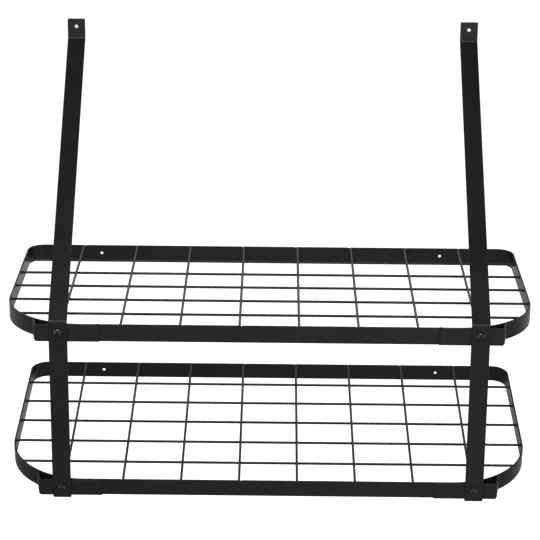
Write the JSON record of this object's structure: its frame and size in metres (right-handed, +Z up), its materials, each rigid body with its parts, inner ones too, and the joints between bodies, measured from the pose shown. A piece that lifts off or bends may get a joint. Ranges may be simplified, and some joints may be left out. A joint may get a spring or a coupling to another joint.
{
  "type": "hanging pot rack",
  "caption": "Wall-hung pot rack: a level upper and a sloping lower flat-bar shelf with wire-grid decks, their fronts carried by bent flat-bar straps.",
  "frame": {"origin": "on the wall plane, midway between the screw holes of the upper shelf's back band", "axes": "+X to the right seen from the front, +Y into the wall, +Z up"},
  "size_m": [0.6, 0.2872, 0.4963],
  "materials": {
    "band_coat": "satin black powder coat over mild steel",
    "wire_coat": "satin black powder coat over steel wire",
    "strap_coat": "satin black powder coat over mild steel",
    "bolt_coat": "black coated steel, slightly glossier than the bars"
  },
  "bodies": {
    "root": {"upper_band": "band_coat", "lower_band": "band_coat", "upper_long_wire_1": "wire_coat", "upper_long_wire_2": "wire_coat", "upper_long_wire_3": "wire_coat", "upper_long_wire_4": "wire_coat", "upper_long_wire_5": "wire_coat", "lower_long_wire_1": "wire_coat", "lower_long_wire_2": "wire_coat", "lower_long_wire_3": "wire_coat", "lower_long_wire_4": "wire_coat", "lower_long_wire_5": "wire_coat", "upper_cross_wire_1": "wire_coat", "upper_cross_wire_2": "wire_coat", "upper_cross_wire_3": "wire_coat", "upper_cross_wire_4": "wire_coat", "upper_cross_wire_5": "wire_coat", "upper_cross_wire_6": "wire_coat", "upper_cross_wire_7": "wire_coat", "upper_cross_wire_8": "wire_coat", "lower_cross_wire_1": "wire_coat", "lower_cross_wire_2": "wire_coat", "lower_cross_wire_3": "wire_coat", "lower_cross_wire_4": "wire_coat", "lower_cross_wire_5": "wire_coat", "lower_cross_wire_6": "wire_coat", "lower_cross_wire_7": "wire_coat", "lower_cross_wire_8": "wire_coat", "upper_left_bracket": "band_coat", "upper_right_bracket": "band_coat", "lower_left_bracket": "band_coat", "lower_right_bracket": "band_coat", "left_strap": "strap_coat", "right_strap": "strap_coat", "upper_left_bolt": "bolt_coat", "upper_right_bolt": "bolt_coat", "lower_left_bolt": "bolt_coat", "lower_right_bolt": "bolt_coat"}
  },
  "joints": []
}
